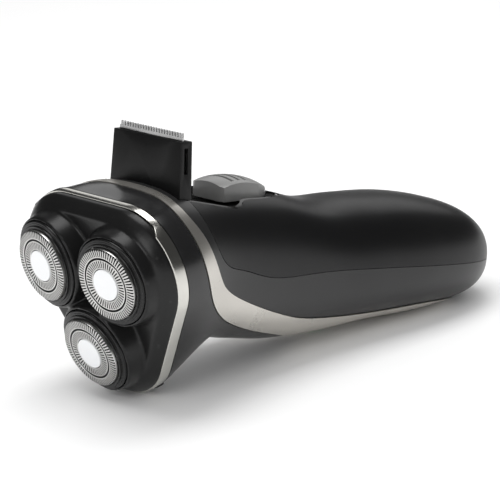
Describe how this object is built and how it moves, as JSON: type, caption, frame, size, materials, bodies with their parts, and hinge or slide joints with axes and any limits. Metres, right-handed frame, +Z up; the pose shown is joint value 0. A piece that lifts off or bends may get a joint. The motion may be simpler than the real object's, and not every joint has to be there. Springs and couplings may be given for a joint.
{
  "type": "electric shaver",
  "caption": "Cordless rotary shaver with three floating heads, pull-off shaving unit, fold-out trimmer, slider, power button and charging socket, lying on its front.",
  "frame": {"origin": "centre of the bounding box's bottom face, on the surface that the shaver lies on", "axes": "+X from the shaving heads to the tail, +Z up out of the handle's back, +Y across the handle"},
  "size_m": [0.1696, 0.065, 0.0778],
  "materials": {
    "soft_black": "soft-touch satin",
    "side_grey": "satin",
    "warm_silver": "metallic satin lacquer",
    "neck_grey": "satin",
    "gloss_black": "gloss",
    "head_black": "semi-gloss",
    "bright_chrome": "polished",
    "guard_steel": "fine circular brushing",
    "cutter_steel": "ground",
    "cap_white": "gloss",
    "ring_black": "semi-gloss",
    "inner_plastic": "moulded",
    "nylon": "moulded",
    "spindle_steel": "turned",
    "seal_rubber": "matt",
    "motor_steel": "drawn",
    "motor_copper": "lacquered winding",
    "cell_wrap": "shrink sleeve",
    "strap_nickel": "rolled",
    "board_green": "solder mask",
    "button_rubber": "matt",
    "lens_green": "clear tinted",
    "contact_brass": "plated",
    "trimmer_black": "fine texture",
    "slider_grey": "satin"
  },
  "bodies": {
    "handle": {"rear_cover": "soft_black", "side_housing": "side_grey", "silver_trim": "warm_silver", "neck_housing": "neck_grey", "trimmer_bay": "gloss_black", "drive_plate": "inner_plastic", "spindle_seals": "seal_rubber", "gear_plate": "inner_plastic", "gear_plate_screws": "spindle_steel", "motor_can": "motor_steel", "chassis": "inner_plastic", "battery_cell_1": "cell_wrap", "battery_cell_2": "cell_wrap", "battery_strap_front": "strap_nickel", "battery_strap_rear": "strap_nickel", "circuit_board": "board_green", "power_switch": "inner_plastic", "board_screws": "spindle_steel", "indicator_lens": "lens_green", "charging_socket": "gloss_black", "charging_contact": "contact_brass", "trimmer_hinge_pin": "spindle_steel", "trimmer_spring": "spindle_steel"},
    "power_button_body": {"power_button": "button_rubber"},
    "release_button_body": {"release_button": "head_black"},
    "motor_drive": {"motor_rotor": "motor_copper", "drive_pinion": "nylon"},
    "trimmer_slider": {"trimmer_switch": "slider_grey", "switch_clip": "inner_plastic"},
    "trimmer_arm": {"trimmer_drive_arm": "nylon"},
    "trimmer": {"trimmer_housing": "trimmer_black", "trimmer_comb": "cutter_steel"},
    "moving_blade": {"trimmer_blade": "cutter_steel"},
    "shaving_unit": {"head_cover": "head_black", "chrome_ring": "bright_chrome", "head_base": "inner_plastic", "retaining_frame": "nylon"},
    "drive_1": {"drive_gear_1": "nylon", "drive_spindle_1": "spindle_steel"},
    "floating_head_1": {"head_ring_1": "ring_black"},
    "guard_float_1": {"guard_1": "guard_steel", "guard_cap_1": "cap_white"},
    "cutter_spin_1": {"cutter_1": "cutter_steel"},
    "drive_2": {"drive_gear_2": "nylon", "drive_spindle_2": "spindle_steel"},
    "floating_head_2": {"head_ring_2": "ring_black"},
    "guard_float_2": {"guard_2": "guard_steel", "guard_cap_2": "cap_white"},
    "cutter_spin_2": {"cutter_2": "cutter_steel"},
    "drive_3": {"drive_gear_3": "nylon", "drive_spindle_3": "spindle_steel"},
    "floating_head_3": {"head_ring_3": "ring_black"},
    "guard_float_3": {"guard_3": "guard_steel", "guard_cap_3": "cap_white"},
    "cutter_spin_3": {"cutter_3": "cutter_steel"}
  },
  "joints": [
    {"name": "shaving_unit_pull", "type": "slide", "parent": "handle", "child": "shaving_unit", "axis": [-0.9817, 0, -0.1903], "range_m": [0, 0.025]},
    {"name": "motor_spin", "type": "hinge", "parent": "handle", "child": "motor_drive", "pos_m": [-0.05199, 0, 0.03743], "axis": [-0.9817, 0, -0.1903], "continuous": true},
    {"name": "drive_spin_1", "type": "hinge", "parent": "handle", "child": "drive_1", "pos_m": [-0.06825, -0.01403, 0.04253], "axis": [-0.9817, 0, -0.1903], "continuous": true},
    {"name": "head_tilt_1", "type": "hinge", "parent": "shaving_unit", "child": "floating_head_1", "pos_m": [-0.07859, -0.01417, 0.04061], "axis": [-0.1648, 0.5, 0.8502], "range_deg": [-3, 3], "stiffness_Nm_per_rad": 0.15},
    {"name": "guard_press_1", "type": "slide", "parent": "floating_head_1", "child": "guard_float_1", "axis": [0.9863, 0.0755, 0.1468], "range_m": [0, 0.0012], "stiffness_N_per_m": 800},
    {"name": "cutter_turn_1", "type": "hinge", "parent": "guard_float_1", "child": "cutter_spin_1", "pos_m": [-0.07909, -0.01421, 0.04053], "axis": [-0.9863, -0.0755, -0.1468], "continuous": true},
    {"name": "drive_spin_2", "type": "hinge", "parent": "handle", "child": "drive_2", "pos_m": [-0.06825, 0.01403, 0.04253], "axis": [-0.9817, 0, -0.1903], "continuous": true},
    {"name": "head_tilt_2", "type": "hinge", "parent": "shaving_unit", "child": "floating_head_2", "pos_m": [-0.07859, 0.01417, 0.04061], "axis": [0.1648, 0.5, -0.8502], "range_deg": [-3, 3], "stiffness_Nm_per_rad": 0.15},
    {"name": "guard_press_2", "type": "slide", "parent": "floating_head_2", "child": "guard_float_2", "axis": [0.9863, -0.0755, 0.1468], "range_m": [0, 0.0012], "stiffness_N_per_m": 800},
    {"name": "cutter_turn_2", "type": "hinge", "parent": "guard_float_2", "child": "cutter_spin_2", "pos_m": [-0.07909, 0.01421, 0.04053], "axis": [-0.9863, 0.0755, -0.1468], "continuous": true},
    {"name": "drive_spin_3", "type": "hinge", "parent": "handle", "child": "drive_3", "pos_m": [-0.06363, 0, 0.01867], "axis": [-0.9817, 0, -0.1903], "continuous": true},
    {"name": "head_tilt_3", "type": "hinge", "parent": "shaving_unit", "child": "floating_head_3", "pos_m": [-0.07392, 0, 0.0165], "axis": [0, -1, 0], "range_deg": [-3, 3], "stiffness_Nm_per_rad": 0.15},
    {"name": "guard_press_3", "type": "slide", "parent": "floating_head_3", "child": "guard_float_3", "axis": [0.9614, 0, 0.2751], "range_m": [0, 0.0012], "stiffness_N_per_m": 800},
    {"name": "cutter_turn_3", "type": "hinge", "parent": "guard_float_3", "child": "cutter_spin_3", "pos_m": [-0.0744, 0, 0.01637], "axis": [-0.9614, 0, -0.2751], "continuous": true},
    {"name": "trimmer_fold", "type": "hinge", "parent": "handle", "child": "trimmer", "pos_m": [-0.05287, 0, 0.05663], "axis": [0, 1, 0], "range_deg": [0, 90]},
    {"name": "blade_stroke", "type": "slide", "parent": "trimmer", "child": "moving_blade", "axis": [0, 1, 0], "range_m": [-0.001, 0.001]},
    {"name": "arm_stroke", "type": "slide", "parent": "handle", "child": "trimmer_arm", "axis": [0, 1, 0], "range_m": [-0.001, 0.001]},
    {"name": "slider_push", "type": "slide", "parent": "handle", "child": "trimmer_slider", "axis": [0.9935, 0, -0.1137], "range_m": [0, 0.0035], "stiffness_N_per_m": 250},
    {"name": "power_button_press", "type": "slide", "parent": "handle", "child": "power_button_body", "axis": [0.1137, 0, 0.9935], "range_m": [0, 0.0008], "stiffness_N_per_m": 1200},
    {"name": "release_press", "type": "slide", "parent": "handle", "child": "release_button_body", "axis": [-0.1903, 0, 0.9817], "range_m": [0, 0.0012], "stiffness_N_per_m": 1200}
  ],
  "couplings": [
    {"joint": "drive_spin_1", "follows": "motor_spin", "ratio": -0.5},
    {"joint": "cutter_turn_1", "follows": "motor_spin", "ratio": -0.5},
    {"joint": "drive_spin_2", "follows": "motor_spin", "ratio": -0.5},
    {"joint": "cutter_turn_2", "follows": "motor_spin", "ratio": -0.5},
    {"joint": "drive_spin_3", "follows": "motor_spin", "ratio": -0.5},
    {"joint": "cutter_turn_3", "follows": "motor_spin", "ratio": -0.5},
    {"joint": "blade_stroke", "follows": "arm_stroke", "ratio": 1}
  ]
}
